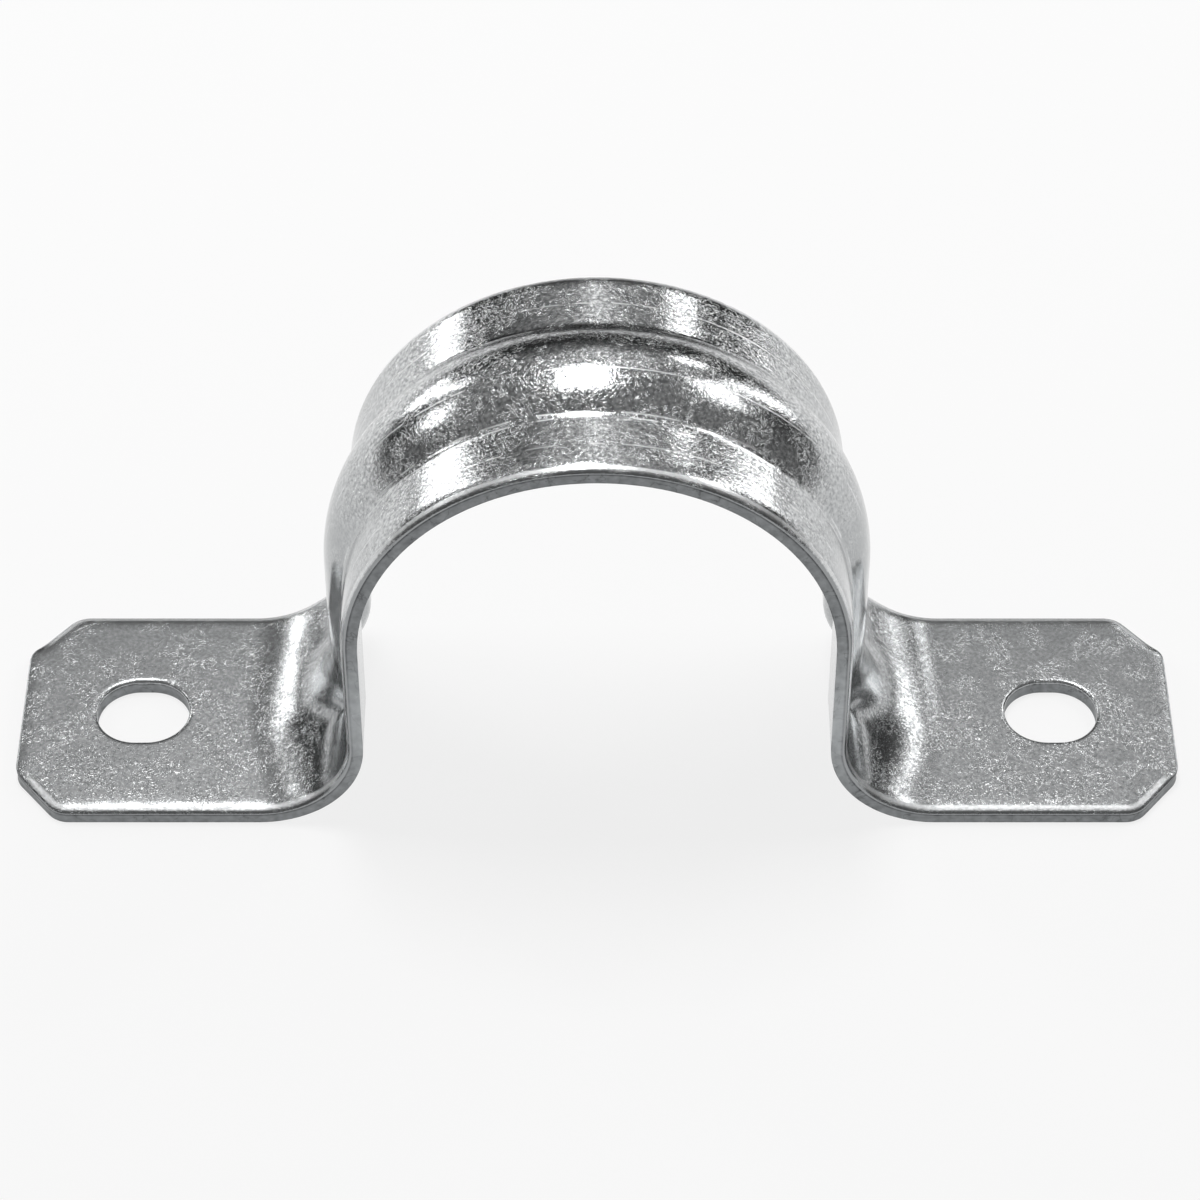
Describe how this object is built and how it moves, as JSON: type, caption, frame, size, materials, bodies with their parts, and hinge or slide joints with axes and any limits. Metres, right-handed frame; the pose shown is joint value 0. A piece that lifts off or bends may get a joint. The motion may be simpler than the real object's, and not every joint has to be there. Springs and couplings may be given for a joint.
{
  "type": "two-hole pipe strap",
  "caption": "Omega-shaped pipe strap pressed from one steel strip: ribbed half-round arch on two flat feet, each with an oblong screw hole and cut corners.",
  "frame": {"origin": "middle of the footprint on the wall face, so z = 0 is the underside of the feet", "axes": "+X along the strap from foot to foot, +Y along the pipe, +Z away from the wall"},
  "size_m": [0.086, 0.02, 0.0373],
  "materials": {
    "galvanised_steel": "hot-dip galvanised, satin, with faint fine pits"
  },
  "bodies": {
    "root": {"strap": "galvanised_steel"}
  },
  "joints": []
}
